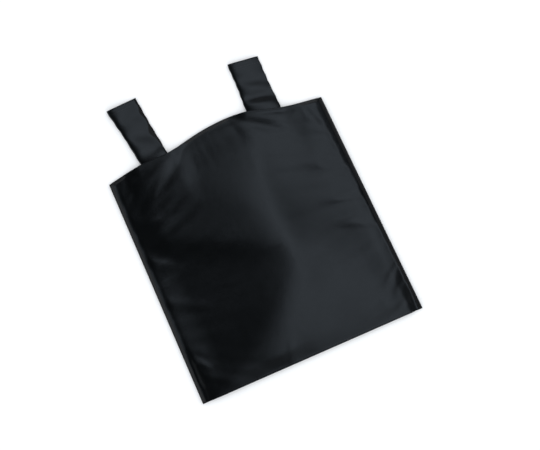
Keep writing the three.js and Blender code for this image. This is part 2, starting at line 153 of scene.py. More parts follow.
# ---------------------------------------------------------------- materials
def new_material(name, color, roughness):
    mat = bpy.data.materials.new(name)
    mat.use_nodes = True
    nodes, links = mat.node_tree.nodes, mat.node_tree.links
    shader = nodes["Principled BSDF"]
    shader.inputs["Base Color"].default_value = (*color, 1)
    shader.inputs["Roughness"].default_value = roughness
    return mat, nodes, links


WAVE_SCALE = 6.3  # makes each wave two threads long: over one and under the next


def weave_height(nodes, links, source, pitch):
    """The height of a plain weave of that pitch, from crossed waves over a coordinate in metres."""
    heights = []
    for direction in ("X", "Y"):
        wave = nodes.new("ShaderNodeTexWave")
        wave.bands_direction = direction
        wave.inputs["Scale"].default_value = 1 / (pitch * WAVE_SCALE)
        wave.inputs["Distortion"].default_value = 0.4
        wave.inputs["Detail"].default_value = 1
        links.new(source, wave.inputs["Vector"])
        heights.append(wave.outputs["Color"])
    mix = nodes.new("ShaderNodeMix")
    mix.data_type = "RGBA"
    mix.blend_type = "MULTIPLY"
    mix.inputs["Factor"].default_value = 1
    links.new(heights[0], mix.inputs["A"])
    links.new(heights[1], mix.inputs["B"])
    return mix.outputs["Result"]


def noise_texture(nodes, links, source, size, detail=3):
    texture = nodes.new("ShaderNodeTexNoise")
    texture.inputs["Scale"].default_value = 1 / size
    texture.inputs["Detail"].default_value = detail
    links.new(source, texture.inputs["Vector"])
    return texture.outputs["Fac"]


def bump(nodes, links, height, distance, strength, under=None):
    node = nodes.new("ShaderNodeBump")
    node.inputs["Distance"].default_value = distance
    node.inputs["Strength"].default_value = strength
    links.new(height, node.inputs["Height"])
    if under is not None:
        links.new(under, node.inputs["Normal"])
    return node.outputs["Normal"]


def spread(nodes, links, value, low, high):
    """A value from 0 to 1 brought into a range."""
    node = nodes.new("ShaderNodeMapRange")
    node.inputs["To Min"].default_value = low
    node.inputs["To Max"].default_value = high
    links.new(value, node.inputs["Value"])
    return node.outputs["Result"]


def tinted(nodes, links, value, dark, light):
    ramp = nodes.new("ShaderNodeValToRGB")
    ramp.color_ramp.elements[0].position = 0.3
    ramp.color_ramp.elements[0].color = (*dark, 1)
    ramp.color_ramp.elements[1].position = 0.7
    ramp.color_ramp.elements[1].color = (*light, 1)
    links.new(value, ramp.inputs["Fac"])
    return ramp.outputs["Color"]


def coordinate(nodes, kind):
    return nodes.new("ShaderNodeTexCoord").outputs[kind]


PATCH_SIZE = 0.045
GRAIN_SIZE = 0.012


def cloth_material(name, dark, light, roughness, pitch, relief, crumple, kind="UV"):
    """Woven cloth with threads of that pitch and relief, crumpled, in two tones and a range of shine."""
    mat, nodes, links = new_material(name, light, roughness[0])
    shader = nodes["Principled BSDF"]
    place = coordinate(nodes, kind)
    weave = weave_height(nodes, links, place, pitch)
    patches = noise_texture(nodes, links, place, PATCH_SIZE, 4)
    fine = noise_texture(nodes, links, place, GRAIN_SIZE, 5)
    links.new(tinted(nodes, links, patches, dark, light), shader.inputs["Base Color"])
    links.new(spread(nodes, links, fine, *roughness), shader.inputs["Roughness"])
    crumpled = bump(nodes, links, patches, crumple, 0.6)
    creased = bump(nodes, links, fine, crumple * 0.25, 0.5, crumpled)
    links.new(bump(nodes, links, weave, relief, 0.35, creased), shader.inputs["Normal"])
    return mat


def nylon(name="black_nylon", kind="UV"):
    mat = cloth_material(
        name,
        dark=(0.0008, 0.0011, 0.0013),
        light=(0.0015, 0.0019, 0.0023),
        roughness=(0.29, 0.36),
        pitch=0.5 * MM,
        relief=0.08 * MM,
        crumple=0.5 * MM,
        kind=kind,
    )
    shader = mat.node_tree.nodes["Principled BSDF"]
    shader.inputs["Specular IOR Level"].default_value = 0.5
    shader.inputs["Specular Tint"].default_value = (0.84, 0.92, 1.0, 1)
    return mat


def cotton():
    return cloth_material(
        "lining_cotton",
        dark=(0.0040, 0.0040, 0.0044),
        light=(0.0065, 0.0065, 0.0070),
        roughness=(0.85, 0.95),
        pitch=0.7 * MM,
        relief=0.15 * MM,
        crumple=0.4 * MM,
    )


def webbing():
    return cloth_material(
        "binding_tape",
        dark=(0.0036, 0.0040, 0.0046),
        light=(0.0058, 0.0063, 0.0072),
        roughness=(0.36, 0.46),
        pitch=0.8 * MM,
        relief=0.15 * MM,
        crumple=0.2 * MM,
    )


def zip_tape_cloth():
    return cloth_material(
        "zip_tape_cloth",
        dark=(0.0035, 0.0035, 0.0042),
        light=(0.0055, 0.0055, 0.0065),
        roughness=(0.8, 0.9),
        pitch=0.6 * MM,
        relief=0.12 * MM,
        crumple=0.1 * MM,
        kind="Object",
    )


def elastic_cloth():
    return cloth_material(
        "cuff_elastic",
        dark=(0.006, 0.006, 0.0066),
        light=(0.012, 0.012, 0.013),
        roughness=(0.7, 0.85),
        pitch=1.6 * MM,
        relief=0.5 * MM,
        crumple=0.2 * MM,
    )


def label_cloth():
    return cloth_material(
        "label_cloth",
        dark=(0.62, 0.62, 0.59),
        light=(0.70, 0.70, 0.67),
        roughness=(0.7, 0.8),
        pitch=0.4 * MM,
        relief=0.05 * MM,
        crumple=0.1 * MM,
        kind="Object",
    )


def thread():
    mat, nodes, links = new_material("thread", (0.012, 0.013, 0.015), 0.5)
    place = coordinate(nodes, "Object")
    twist = noise_texture(nodes, links, place, 0.0006, 2)
    color = tinted(nodes, links, twist, (0.007, 0.008, 0.009), (0.02, 0.021, 0.024))
    links.new(color, nodes["Principled BSDF"].inputs["Base Color"])
    return mat


def plastic_coil():
    mat, nodes, links = new_material("zip_coil_nylon", (0.008, 0.008, 0.009), 0.35)
    grain = noise_texture(nodes, links, coordinate(nodes, "Object"), 0.002, 3)
    shader = nodes["Principled BSDF"]
    links.new(spread(nodes, links, grain, 0.28, 0.45), shader.inputs["Roughness"])
    color = tinted(nodes, links, grain, (0.006, 0.006, 0.007), (0.010, 0.010, 0.011))
    links.new(color, shader.inputs["Base Color"])
    return mat


def painted_zip_metal():
    """Black paint over die-cast metal, rubbed bright in small patches."""
    mat, nodes, links = new_material("zip_metal_paint", (0.02, 0.021, 0.023), 0.3)
    shader = nodes["Principled BSDF"]
    shader.inputs["Metallic"].default_value = 0.4
    place = coordinate(nodes, "Object")
    rubbed = noise_texture(nodes, links, place, 0.004, 4)
    grain = noise_texture(nodes, links, place, 0.0008, 2)
    ramp = nodes.new("ShaderNodeValToRGB")
    ramp.color_ramp.elements[0].position = 0.62
    ramp.color_ramp.elements[0].color = (0.016, 0.017, 0.019, 1)
    ramp.color_ramp.elements[1].position = 0.74
    ramp.color_ramp.elements[1].color = (0.09, 0.09, 0.092, 1)
    links.new(rubbed, ramp.inputs["Fac"])
    links.new(ramp.outputs["Color"], shader.inputs["Base Color"])
    links.new(spread(nodes, links, rubbed, 0.25, 0.45), shader.inputs["Roughness"])
    links.new(bump(nodes, links, grain, 0.05 * MM, 0.3), shader.inputs["Normal"])
    return mat


# ---------------------------------------------------------------- mesh helpers
def new_object(name, points, faces, mat, uv=None):
    mesh = bpy.data.meshes.new(name)
    mesh.from_pydata(np.asarray(points, float).reshape(-1, 3).tolist(), [], faces)
    mesh.materials.append(mat)
    mesh.shade_smooth()
    if uv is not None:
        layer = mesh.uv_layers.new(name="UVMap")
        loops = np.zeros(len(mesh.loops), int)
        mesh.loops.foreach_get("vertex_index", loops)
        layer.data.foreach_set("uv", np.asarray(uv, float)[loops].ravel())
    obj = bpy.data.objects.new(name, mesh)
    bpy.context.scene.collection.objects.link(obj)
    return obj


def grid_quads(rows, columns, wrap=False, first=0):
    """Faces of a grid of points held row by row; the last column joins the first if it wraps."""
    quads = []
    for i in range(rows - 1):
        for j in range(columns if wrap else columns - 1):
            k = (j + 1) % columns
            a, b = first + i * columns + j, first + i * columns + k
            quads.append((a, b, b + columns, a + columns))
    return quads


def grid_normals(points, wrap=False):
    across = np.gradient(points, axis=1)
    if wrap:
        across = (np.roll(points, -1, axis=1) - np.roll(points, 1, axis=1)) / 2
    along = np.gradient(points, axis=0)
    normals = np.cross(across, along)
    return normals / np.maximum(np.linalg.norm(normals, axis=2, keepdims=True), 1e-12)


def cloth(name, points, thickness, mat, wrap=False):
    """A closed sheet of cloth whose upper face is a grid of points, rows by columns by 3."""
    rows, columns = points.shape[:2]
    under = points - grid_normals(points, wrap) * thickness
    count = rows * columns
    upper = grid_quads(rows, columns, wrap)
    lower = [(d, c, b, a) for a, b, c, d in grid_quads(rows, columns, wrap, count)]
    last = (rows - 1) * columns
    if wrap:
        pairs = [((j + 1) % columns, j) for j in range(columns)]
        rim = [(b, a, a + count, b + count) for b, a in pairs]
        rim += [(last + a, last + b, last + b + count, last + a + count) for b, a in pairs]
    else:
        loop = list(range(columns))
        loop += [i * columns + columns - 1 for i in range(1, rows)]
        loop += [last + j for j in range(columns - 2, -1, -1)]
        loop += [i * columns for i in range(rows - 2, 0, -1)]
        rim = [(b, a, a + count, b + count) for a, b in zip(loop, loop[1:] + loop[:1])]
    step_u = np.linalg.norm(np.diff(points, axis=1), axis=2).mean(0)
    step_v = np.linalg.norm(np.diff(points, axis=0), axis=2).mean(1)
    u, v = np.meshgrid(np.append(0, step_u.cumsum()), np.append(0, step_v.cumsum()))
    uv = np.stack([u, v], -1).reshape(-1, 2)
    return new_object(
        name,
        np.concatenate([points.reshape(-1, 3), under.reshape(-1, 3)]),
        upper + lower + rim,
        mat,
        np.concatenate([uv, uv]),
    )


def smoothstep(x, low, high):
    t = np.clip((x - low) / (high - low), 0, 1)
    return t * t * (3 - 2 * t)


def hump(x, centre, width):
    """A smooth rise of 1 at the centre that dies away over the width."""
    return np.exp(-(((x - centre) / width) ** 2))


def resample(path, pitch):
    """Points along a path at an even pitch, and the unit direction at each."""
    path = np.asarray(path, float)
    steps = np.linalg.norm(np.diff(path, axis=0), axis=1)
    far = np.append(0, steps.cumsum())
    count = max(int(far[-1] / pitch), 1)
    at = np.linspace(0, far[-1], count + 1)
    points = np.stack([np.interp(at, far, path[:, k]) for k in range(3)], -1)
    along = np.gradient(points, axis=0)
    return points, along / np.linalg.norm(along, axis=1, keepdims=True)


STITCH_PITCH = 4.2 * MM
STITCH_LENGTH = 3.1 * MM
STITCH_RADIUS = 0.35 * MM
STITCH_FLOOR = 0.56 * MM  # the lowest that a stitch's middle lies, to stay above the table


def stitches(name, paths, mat):
    """Rows of short raised threads that lie along paths on the cloth."""
    points, faces = [], []
    sides = 6
    ring = [(math.cos(a), math.sin(a)) for a in np.arange(sides) * 2 * math.pi / sides]
    profile = [(-0.72, 0.8), (0, 1.0), (0.72, 0.8)]
    for path in paths:
        centres, along = resample(path, STITCH_PITCH)
        side = np.cross((0.0, 0.0, 1.0), along)
        side /= np.maximum(np.linalg.norm(side, axis=1, keepdims=True), 1e-9)
        top = np.cross(along, side)
        for c, d, s, t in zip(centres[1:-1], along[1:-1], side[1:-1], top[1:-1]):
            first = len(points)
            for share, fat in profile:
                middle = c + d * share * STITCH_LENGTH / 2
                points += [middle + (s * x + t * z) * fat * STITCH_RADIUS for x, z in ring]
            start = len(points)
            end = start + 1
            last = start - sides
            points += [c - d * STITCH_LENGTH / 2, c + d * STITCH_LENGTH / 2]
            for k in range(sides):
                n = (k + 1) % sides
                faces.append((start, first + n, first + k))
                faces.append((end, last + k, last + n))
                for r in range(first, last, sides):
                    faces.append((r + k, r + n, r + n + sides, r + k + sides))
    return new_object(name, points, faces, mat)


def laid_on(piece, path, lift=0.1 * MM):
    """A plan path brought down onto the top of a piece."""
    mesh = piece.data
    tree = BVHTree.FromPolygons([v.co for v in mesh.vertices], [p.vertices for p in mesh.polygons])
    points = []
    for x, y in path:
        hit = tree.ray_cast(Vector((x, y, 1)), Vector((0, 0, -1)))[0]
        if hit is not None:
            points.append((x, y, hit.z + lift))
    return np.array(points)


# ---------------------------------------------------------------- outline, read from the frame
def node_points(node):
    mesh = frame["nodes"][node].data
    co = np.zeros(len(mesh.vertices) * 3)
    mesh.vertices.foreach_get("co", co)
    return co.reshape(-1, 3)


def corners(node):
    """The four plan corners of a CAD node: near left, near right, far left, far right."""
    p = node_points(node)[:, :2]
    total, difference = p.sum(1), p[:, 1] - p[:, 0]
    return [
        p[total.argmin()],
        p[difference.argmin()],
        p[difference.argmax()],
        p[total.argmax()],
    ]


FAR_HALF = 0.2  # all of the far edge lies beyond this y
COLUMN_GAP = 3.5 * MM  # points nearer in x than this are in one grid column


def arm_edge_points():
    """The far edge of the panels from left to right: the furthest point of each grid column."""
    p = node_points("outer_front_panel")
    p = p[np.lexsort((p[:, 0], -p[:, 1]))]
    edge = []
    for x, y in p[p[:, 1] > FAR_HALF][:, :2]:
        if all(abs(x - e[0]) > COLUMN_GAP for e in edge):
            edge.append((x, y))
    return np.array(sorted(edge))


NEAR_LEFT, NEAR_RIGHT, FAR_LEFT, FAR_RIGHT = corners("outer_front_panel")
LEFT_FLARE = 6 * MM
NEAR_LEFT = NEAR_LEFT - (LEFT_FLARE, 0)  # the soft left side spreads a little towards the mouth
ARM_EDGE = arm_edge_points()
PANEL_WIDTH = NEAR_RIGHT[0] - NEAR_LEFT[0]
PANEL_LENGTH = ARM_EDGE[:, 1].mean() - NEAR_LEFT[1]


def arm_edge(x):
    """A smooth curve through the far edge's points."""
    px, py = ARM_EDGE.T
    slope = np.gradient(py, px)
    i = np.clip(np.searchsorted(px, x) - 1, 0, len(px) - 2)
    h = px[i + 1] - px[i]
    t = np.clip((x - px[i]) / h, 0, 1)
    a = (1 + 2 * t) * (1 - t) ** 2 * py[i] + t * t * (3 - 2 * t) * py[i + 1]
    return a + h * (t * (1 - t) ** 2 * slope[i] - t * t * (1 - t) * slope[i + 1])


def plan(s, t):
    """The plan point at share s across and share t from the mouth to the far edge."""
    near = NEAR_LEFT[0] + (NEAR_RIGHT[0] - NEAR_LEFT[0]) * s
    far = FAR_LEFT[0] + (FAR_RIGHT[0] - FAR_LEFT[0]) * s
    return near + (far - near) * t, NEAR_LEFT[1] + (arm_edge(far) - NEAR_LEFT[1]) * t


SLEEVES = {side: corners(f"{side}_sleeve_shell") for side in ("left", "right")}
SLEEVE_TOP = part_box("left_sleeve_shell")[1].z
MARGIN = 11 * MM  # width of the sewn flange along the far edge, and on the right near the mouth
WIDE_MARGIN = 26 * MM  # its width on the right near the sleeve
LEFT_MARGIN = 17 * MM
LINING_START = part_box("lining_front_panel")[0].y - NEAR_LEFT[1]

# ---------------------------------------------------------------- the shape of the cloth
GRID = 7 * MM
MOUTH_TOP = 13.6 * MM  # the front panel's top at the lip of the mouth
SEAM_TOP = 5.8 * MM  # and at its sewn edges, between the two faces of the binding
SLEEVE_COVER = 1.0 * MM  # how far the panel lies above a sleeve at its seam
SIM_FRAMES = 26
AIR_PRESSURE = 4.0
EASE = 0.004  # spare cloth, as a share of its width, that the seams gather in
SEED_BUMP = 1.5 * MM  # unevenness of the flat cloth before it puffs up
SEED_SCALE = 22  # bumps per metre in it
BROADENING = 60  # rounds of averaging that leave only the panel's broad pillow
FULLNESS = 0.41  # how much of that pillow is kept: the bag lies nearly empty of air
CALMING = 90  # rounds of averaging that calm the gathers at the mouth, far edge and left flank
LIFT_LEFT = 3.0 * MM  # how far the flanges' edges curl up
LIFT_RIGHT = 5.0 * MM
LIFT_FAR = 2.6 * MM


def to_edges(s, t):
    """Distances in from the left, right and far edges."""
    return s * PANEL_WIDTH, (1 - s) * PANEL_WIDTH, (1 - t) * PANEL_LENGTH


def rim_height(s, t):
    """Height of the front panel's upper face round its edge: sewn flat, raised at sleeves and mouth."""
    far_x = FAR_LEFT[0] + (FAR_RIGHT[0] - FAR_LEFT[0]) * s
    lift = 0
    for near_left, near_right, _, _ in SLEEVES.values():
        from_sleeve = abs(far_x - (near_left[0] + near_right[0]) / 2)
        lift = lift + 1 - smoothstep(from_sleeve, 0.05, 0.105)
    from_far = (1 - t) * PANEL_LENGTH
    far = (SLEEVE_TOP + SLEEVE_COVER - SEAM_TOP) * lift * (1 - smoothstep(from_far, 0.02, 0.2))
    from_middle = abs(s - 0.5) * PANEL_WIDTH
    mouth = (MOUTH_TOP - SEAM_TOP) * (1 - smoothstep(from_middle, 0.312, 0.341))
    mouth = mouth * (1 - smoothstep(t * PANEL_LENGTH, 0.06, 0.22))
    return SEAM_TOP + far + mouth


def right_margin(t):
    """The sewn flange on the right widens towards the sleeves."""
    return MARGIN + (WIDE_MARGIN - MARGIN) * smoothstep(t, 0.2, 1.0)


def flange_lift(s, t):
    """How far the sewn edges curl up off the table, which the cloth and its bindings share."""
    left, right, far = to_edges(s, t)
    lift_left = LIFT_LEFT * np.clip(1 - left / (LEFT_MARGIN + 1 * MM), 0, 1) ** 1.2
    lift_right = LIFT_RIGHT * np.clip(1 - right / (right_margin(t) + 1 * MM), 0, 1) ** 1.2
    middle = smoothstep(s, 0.02, 0.06)
    lift_far = LIFT_FAR * np.clip(1 - far / (MARGIN + 1 * MM), 0, 1) ** 1.4 * middle
    return np.maximum(np.maximum(lift_left, lift_right), lift_far)


FOLD_ENDS = 1.7  # how far a fold fades past its ends, as a share of its whole width


def ridge(x, y, start, end, height, on_left, on_right):
    """A fold from start to end, with its widths to the left and right of that line."""
    start, end = np.array(start), np.array(end)
    run = end - start
    length = np.linalg.norm(run)
    along = ((x - start[0]) * run[0] + (y - start[1]) * run[1]) / length**2
    off = ((x - start[0]) * run[1] - (y - start[1]) * run[0]) / length
    width = np.where(off < 0, on_left, on_right)
    past = np.where(along < 0, -along, np.where(along > 1, along - 1, 0)) * length
    fade = FOLD_ENDS * (on_left + on_right)
    return height * np.exp(-((off / width) ** 2)) * np.exp(-((past / fade) ** 2))


# Each fold: from and to (metres from the bag's near left corner), height, width on its left and right.
FOLDS = [
    ((0.420, 0.76), (0.410, 0.42), 5.7 * MM, 0.060, 0.16),
    ((0.420, 0.38), (0.650, 0.07), 6.5 * MM, 0.090, 0.130),
    ((0.020, 0.53), (0.350, 0.38), 6.5 * MM, 0.110, 0.060),
    ((0.030, 0.51), (0.210, 0.43), 4 * MM, 0.050, 0.030),
    ((0.080, -0.01), (0.310, 0.15), 6 * MM, 0.065, 0.080),
    ((0.310, 0.15), (0.385, 0.30), 5 * MM, 0.130, 0.080),
    ((0.025, 0.40), (0.035, 0.18), -4.2 * MM, 0.190, 0.040),
    ((0.620, 0.70), (0.600, 0.20), -3 * MM, 0.110, 0.120),
]
# Short folds that start at a seam, in the same terms.
PUCKERS = [
    ((0.695, 0.480), (0.615, 0.500), -3.6 * MM, 0.011, 0.015),
    ((0.695, 0.375), (0.605, 0.395), -3.2 * MM, 0.010, 0.015),
    ((0.698, 0.285), (0.625, 0.310), -3.6 * MM, 0.012, 0.016),
    ((0.694, 0.590), (0.650, 0.600), -1.8 * MM, 0.010, 0.014),
    ((0.425, 0.735), (0.420, 0.620), 2.0 * MM, 0.045, 0.080),
    ((0.010, 0.575), (0.085, 0.550), 2.0 * MM, 0.014, 0.016),
    ((0.010, 0.455), (0.050, 0.430), 2.6 * MM, 0.012, 0.020),
    ((0.010, 0.320), (0.090, 0.280), 1.8 * MM, 0.014, 0.018),
    ((0.010, 0.130), (0.100, 0.075), 1.5 * MM, 0.018, 0.012),
    ((0.015, 0.115), (0.105, 0.005), 3.0 * MM, 0.035, 0.050),
    ((0.290, 0.005), (0.300, 0.035), 0.9 * MM, 0.010, 0.014),
]


def folds(x, y, listed):
    x, y = x - NEAR_LEFT[0], y - NEAR_LEFT[1]
    return sum(ridge(x, y, *fold) for fold in listed)


def smoothed(values, passes, axis):
    """Values averaged with their neighbours along one axis, that many times over."""
    values = np.moveaxis(values, axis, 0)
    for _ in range(passes):
        before = np.concatenate([values[:1], values[:-1]])
        after = np.concatenate([values[1:], values[-1:]])
        values = (before + 2 * values + after) / 4
    return np.moveaxis(values, 0, axis)


def simulate_panel(points, pinned):
    """Lets the sewn sheet puff up under a little trapped air, so its edges pucker."""
    rows, columns = points.shape[:2]
    mesh = bpy.data.meshes.new("sim")
    mesh.from_pydata(points.reshape(-1, 3).tolist(), [], grid_quads(rows, columns))
    obj = bpy.data.objects.new("sim", mesh)
    scene = bpy.context.scene
    scene.collection.objects.link(obj)
    group = obj.vertex_groups.new(name="pins")
    group.add([int(i) for i in np.flatnonzero(pinned.ravel())], 1.0, "REPLACE")
    cloth_modifier = obj.modifiers.new("cloth", "CLOTH")
    settings = cloth_modifier.settings
    settings.vertex_group_mass = "pins"
    settings.quality = 6
    settings.mass = 0.15
    settings.air_damping = 2
    settings.tension_stiffness = 40
    settings.compression_stiffness = 40
    settings.shear_stiffness = 12
    settings.bending_stiffness = 3.0
    settings.shrink_min = -EASE
    settings.use_pressure = True
    settings.uniform_pressure_force = AIR_PRESSURE
    settings.effector_weights.gravity = 0
    cloth_modifier.collision_settings.use_collision = False
    cloth_modifier.point_cache.frame_start = 1
    cloth_modifier.point_cache.frame_end = SIM_FRAMES
    scene.frame_start, scene.frame_end = 1, SIM_FRAMES
    for step in range(1, SIM_FRAMES + 1):
        scene.frame_set(step)
    evaluated = obj.evaluated_get(bpy.context.evaluated_depsgraph_get())
    result = np.zeros(rows * columns * 3)
    evaluated.data.vertices.foreach_get("co", result)
    bpy.data.objects.remove(obj)
    scene.frame_set(1)
    return result.reshape(rows, columns, 3)


def finer(points):
    """The same surface with twice the points each way, curved between them."""
    for axis in (0, 1):
        p = np.moveaxis(points, axis, 0)
        padded = np.concatenate([[2 * p[0] - p[1]], p, [2 * p[-1] - p[-2]]])
        middle = (9 * (padded[1:-2] + padded[2:-1]) - padded[:-3] - padded[3:]) / 16
        out = np.empty((2 * len(p) - 1, *p.shape[1:]))
        out[0::2] = p
        out[1::2] = middle
        points = np.moveaxis(out, 0, axis)
    return points


def share_grid(rows, columns):
    """The shares (s, t) of a grid of points over the panel."""
    return np.meshgrid(np.linspace(0, 1, columns), np.linspace(0, 1, rows))


def simulated_front():
    """The front panel's upper face, puffed up inside its sewn edges."""
    s, t = share_grid(round(PANEL_LENGTH / GRID) + 1, round(PANEL_WIDTH / GRID) + 1)
    x, y = plan(s, t)
    left, right, far = to_edges(s, t)
    rim = rim_height(s, t)
    places = zip(x.ravel() * SEED_SCALE, y.ravel() * SEED_SCALE)
    seed = np.array([noise.noise(Vector((a, b, 3.0))) for a, b in places])
    inside = np.minimum(np.minimum(left, right), far)
    start = rim + SEED_BUMP * seed.reshape(x.shape) * smoothstep(inside, MARGIN, 0.03)
    points = np.stack([x, y, start], -1)
    pinned = (inside < MARGIN) | (left < LEFT_MARGIN) | (right < right_margin(t)) | (t < 0.001)
    return simulate_panel(points, pinned)


def shape_front():
    """The front panel with its folds and curled flanges, and the shares of each of its points."""
    points = finer(simulated_front())
    s, t = share_grid(*points.shape[:2])
    left, right, far = to_edges(s, t)
    inside = np.minimum(np.minimum(left, right), far)
    from_mouth = t * PANEL_LENGTH
    rim = rim_height(s, t)
    x, y, z = points[:, :, 0], points[:, :, 1], points[:, :, 2]

    broad = smoothed(smoothed(z, BROADENING, 0), BROADENING, 1)
    z = z - np.maximum(broad - rim, 0) * (1 - FULLNESS) * smoothstep(inside, MARGIN, 0.05)

    at_mouth = 1 - smoothstep(from_mouth, 0.10, 0.26)
    at_far_edge = 0.8 * (1 - smoothstep(far, 0.05, 0.18))
    calm = np.maximum(at_mouth, at_far_edge) * smoothstep(np.minimum(left, right), MARGIN, 0.09)
    flank = smoothstep(left, MARGIN, LEFT_MARGIN + 8 * MM) * (1 - smoothstep(left, 0.035, 0.08))
    calm = np.maximum(calm, 0.8 * flank)
    z = z + (smoothed(z, CALMING, 1) - z) * calm

    free = smoothstep(inside, MARGIN, 0.10) * smoothstep(from_mouth, 0.0, 0.05)
    z = z + folds(x, y, FOLDS) * free
    z = z + folds(x, y, PUCKERS) * smoothstep(inside, MARGIN, 0.03)
    z = smoothed(smoothed(np.maximum(z, rim), 2, 0), 2, 1) + flange_lift(s, t)
    return np.stack([x, y, z], -1), s, t


# ---------------------------------------------------------------- panels
NYLON_THICKNESS = 0.7 * MM
LINING_THICKNESS = 0.5 * MM
LINING_UNDER_FRONT = 1.2 * MM  # from the front panel's upper face down to its lining's
LINING_OVER_BACK = 0.9 * MM
BACK_TOP = 1.0 * MM  # the back panel's upper face, and how much higher it lies in the bindings
BACK_RISE = 1.1 * MM


def make_panels(mats):
    top, s, t = shape_front()
    front = cloth("front_panel", top, NYLON_THICKNESS, mats["nylon"])
    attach(front, "bag")
    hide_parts("outer_front_panel")

    left, right, far = to_edges(s, t)
    inside = np.minimum(np.minimum(left, right), far)
    within = t * PANEL_LENGTH > LINING_START
    rows = np.flatnonzero(within[:, 0])
    under = top[rows].copy()
    under[:, :, 2] -= LINING_UNDER_FRONT
    lining_front = cloth("lining_front", under, LINING_THICKNESS, mats["cotton"])
    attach(lining_front, "bag")
    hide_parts("lining_front_panel")

    flat_x, flat_y = plan(s, t)
    rise = BACK_RISE * (1 - smoothstep(inside, MARGIN, MARGIN + 6 * MM))
    base = np.stack([flat_x, flat_y, BACK_TOP + rise + flange_lift(s, t)], -1)
    back = cloth("back_panel", base, NYLON_THICKNESS, mats["nylon"])
    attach(back, "bag")
    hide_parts("outer_back_panel")

    over = base[rows].copy()
    over[:, :, 2] += LINING_OVER_BACK
    lining_back = cloth("lining_back", over, LINING_THICKNESS, mats["cotton"])
    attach(lining_back, "bag")
    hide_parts("lining_back_panel")
    return {
        "front": front,
        "back": back,
        "lining_front": lining_front,
        "lining_back": lining_back,
    }


# ---------------------------------------------------------------- bindings
def edge_run(name):
    """The plan path of a binding along the sewn edge, with its outward direction at each point."""
    low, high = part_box(name)
    if "side" in name:
        ends = (NEAR_LEFT, FAR_LEFT) if "left" in name else (NEAR_RIGHT, FAR_RIGHT)
        share = np.linspace(0, 1, 121)[:, None]
        path = ends[0] * (1 - share) + ends[1] * share
        path = path if "right" in name else path[::-1]
    else:
        x = np.arange(high.x, low.x - 1e-6, -6 * MM)
        path = np.stack([x, arm_edge(x)], -1)
    along = np.gradient(path, axis=0)
    along /= np.linalg.norm(along, axis=1, keepdims=True)
    return path, np.stack([along[:, 1], -along[:, 0]], -1)


def shares(x, y):
    """The shares (s, t) of a plan point, by a few steps from a first guess."""
    s = (x - NEAR_LEFT[0]) / PANEL_WIDTH
    t = (y - NEAR_LEFT[1]) / PANEL_LENGTH
    for _ in range(6):
        px, py = plan(np.clip(s, 0, 1), t)
        s = s + (x - px) / PANEL_WIDTH
        t = t + (y - py) / PANEL_LENGTH
    return np.clip(s, 0, 1), np.clip(t, 0, 1)


STITCH_INSET = 7.6 * MM
TAPE_THICKNESS = 0.5 * MM
TAPE_WOBBLE = 0.5 * MM  # how unevenly the tape's inner edges run
TAPE_WOBBLE_SCALE = 30
BINDING_NODES = [
    "left_side_binding",
    "right_side_binding",
    "arm_edge_binding_left",
    "arm_edge_binding_middle",
    "arm_edge_binding_right",
]
# The tape's section round the bag's edge, from its lower inner edge to its upper: out, height in mm.
TAPE_SECTION = [
    (-10.0, 0.75),
    (-6.5, 0.55),
    (-3.0, 0.5),
    (-0.6, 0.6),
    (0.55, 1.4),
    (0.95, 3.4),
    (0.55, 5.8),
    (-0.6, 6.75),
    (-3.0, 7.0),
    (-6.5, 6.95),
    (-9.2, 6.75),
    (-10.0, 6.35),
]


def make_bindings(mats):
    pieces = []
    for name in BINDING_NODES:
        path, out = edge_run(name)
        section = []
        for k, (reach, height) in enumerate(TAPE_SECTION):
            spots = [Vector((*point, 7 + k * 0.1)) for point in path * TAPE_WOBBLE_SCALE]
            wobble = np.array([noise.noise(spot) for spot in spots])[:, None]
            inner_edge = reach < -8
            place = path + out * (reach * MM + wobble * TAPE_WOBBLE * inner_edge)
            s, t = shares(place[:, 0], place[:, 1])
            section.append(np.column_stack([place, height * MM + flange_lift(s, t)]))
        points = np.stack(section, 1)[:, ::-1]
        tape = cloth(f"{name}_tape", points, TAPE_THICKNESS, mats["webbing"])
        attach(tape, "bag")
        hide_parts(name)
        pieces.append(tape)
    return pieces


def make_binding_stitches(tapes, mats):
    rows = []
    for name, tape in zip(BINDING_NODES, tapes):
        path, out = edge_run(name)
        line = laid_on(tape, path - out * STITCH_INSET)
        row = stitches(f"{name}_stitches", [line], mats["thread"])
        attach(row, "bag")
        rows.append(row)
    return rows


# ---------------------------------------------------------------- sleeves
RING = 56
SLEEVE_STEP = 3.5 * MM
TUCK = 14 * MM  # how far the sleeve runs on inside the bag
SLEEVE_THICKNESS = 0.6 * MM
FLOOR_GAP = 0.25 * MM
# How full a sleeve lies, as a share of its CAD height, and what its seam and its cuff add to that.
BODY_FULLNESS = 0.70
SEAM_FULLNESS = 0.30
CUFF_FULLNESS = 0.22
WAIST = 0.035  # how much narrower it is halfway along
EDGE_RIPPLE = 0.012
# Creases across each sleeve: share of its length, depth in mm, width, slant across it.
CREASES = {
    "left": [(0.10, 1.4, 0.08, 0.06), (0.45, 2.8, 0.12, -0.08), (0.72, 1.4, 0.09, 0.06)],
    "right": [(0.24, 3.8, 0.10, 0.03), (0.60, 1.6, 0.10, -0.06), (0.85, 0.9, 0.08, 0.06)],
}
SLEEVE_TILT = {"left": 8.5 * MM, "right": 3.5 * MM}  # how much fuller each sleeve lies on its left


